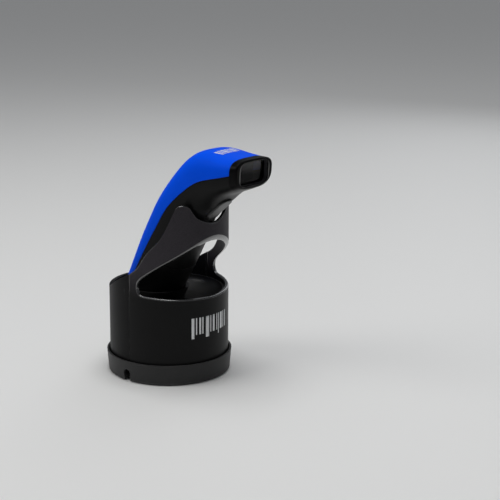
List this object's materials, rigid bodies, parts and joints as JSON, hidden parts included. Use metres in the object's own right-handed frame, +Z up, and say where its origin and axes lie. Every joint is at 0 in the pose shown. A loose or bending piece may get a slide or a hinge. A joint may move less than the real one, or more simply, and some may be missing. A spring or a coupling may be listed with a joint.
{
  "type": "handheld barcode scanner",
  "caption": "Cordless pistol-shaped barcode scanner with a coloured top cover, standing tail down in a round charging dock whose front wraps round the handle.",
  "frame": {"origin": "centre of the dock's rubber foot, on the surface it stands on", "axes": "+Z up out of the dock, -Y towards the side the scanner's nose points to, +X to the scanner's left"},
  "size_m": [0.078, 0.1069, 0.1438],
  "materials": {
    "shell_black": "fine-textured, satin",
    "body_black": "fine-textured, satin",
    "cover_blue": "satin gloss",
    "bezel_black": "satin gloss",
    "cradle_black": "smooth, glossy",
    "foot_rubber": "matt",
    "seal_rubber": "matt",
    "window_glass": "tinted, clear",
    "trigger_grey": "smooth, satin",
    "button_rubber": "matt",
    "light_lens": "frosted, clear",
    "ballast_iron": "as cast",
    "screw_steel": "zinc plated",
    "board_green": "solder-masked laminate",
    "chip_black": "moulded",
    "contact_gold": "gold plated",
    "socket_steel": "bright",
    "tongue_black": "moulded",
    "cell_sleeve": "wrapped steel can",
    "spring_steel": "nickel plated",
    "tray_black": "moulded",
    "engine_black": "anodised",
    "lens_glass": "clear"
  },
  "bodies": {
    "dock": {"dock_front_shell": "shell_black", "dock_back_shell": "shell_black", "dock_base_ring": "shell_black", "dock_bottom_plate": "shell_black", "bottom_plate_screws": "screw_steel", "rubber_foot_pad": "foot_rubber", "ballast_weight": "ballast_iron", "dock_circuit_board": "board_green", "board_standoffs": "contact_gold", "dock_board_screws": "screw_steel", "dock_board_chips": "chip_black", "power_socket": "socket_steel", "socket_tongue": "tongue_black", "dock_cradle": "cradle_black", "contact_block": "tray_black", "contact_leads": "contact_gold"},
    "scanner": {"nose_bezel": "bezel_black", "window_seal": "seal_rubber", "scan_window": "window_glass", "trigger_switch": "chip_black", "trigger_switch_board": "board_green", "power_switch": "spring_steel", "status_light": "light_lens", "top_cover": "cover_blue", "lower_body": "body_black", "battery_door": "body_black", "charge_pads": "contact_gold", "battery_cell_left": "cell_sleeve", "battery_cell_right": "cell_sleeve", "battery_contacts": "contact_gold", "battery_springs": "spring_steel", "battery_tray": "tray_black", "main_circuit_board": "board_green", "main_board_chips": "chip_black", "vibration_motor": "spring_steel", "beeper": "chip_black", "scan_engine": "engine_black", "engine_lens": "lens_glass", "aiming_light": "lens_glass", "engine_bracket": "engine_black"},
    "trigger": {"trigger_button": "trigger_grey", "trigger_plunger": "trigger_grey"},
    "power_key": {"power_button": "button_rubber"},
    "lock": {"door_lock": "body_black"},
    "pin_left": {"charge_pin_left": "contact_gold"},
    "pin_right": {"charge_pin_right": "contact_gold"}
  },
  "joints": [
    {"name": "scanner_lift", "type": "slide", "parent": "dock", "child": "scanner", "axis": [0, -0.454, 0.891], "range_m": [0, 0.1]},
    {"name": "trigger_press", "type": "slide", "parent": "scanner", "child": "trigger", "axis": [0, 0.7547, 0.6561], "range_m": [0, 0.001], "stiffness_N_per_m": 400},
    {"name": "power_press", "type": "slide", "parent": "scanner", "child": "power_key", "axis": [0, -0.8572, -0.515], "range_m": [0, 0.0005], "stiffness_N_per_m": 400},
    {"name": "lock_turn", "type": "hinge", "parent": "scanner", "child": "lock", "pos_m": [0, 0.01483, 0.04585], "axis": [0, -0.454, 0.891], "range_deg": [0, 90]},
    {"name": "pin_left_press", "type": "slide", "parent": "dock", "child": "pin_left", "axis": [0, -0.454, 0.891], "range_m": [-0.001, 0], "stiffness_N_per_m": 300},
    {"name": "pin_right_press", "type": "slide", "parent": "dock", "child": "pin_right", "axis": [0, -0.454, 0.891], "range_m": [-0.001, 0], "stiffness_N_per_m": 300}
  ]
}
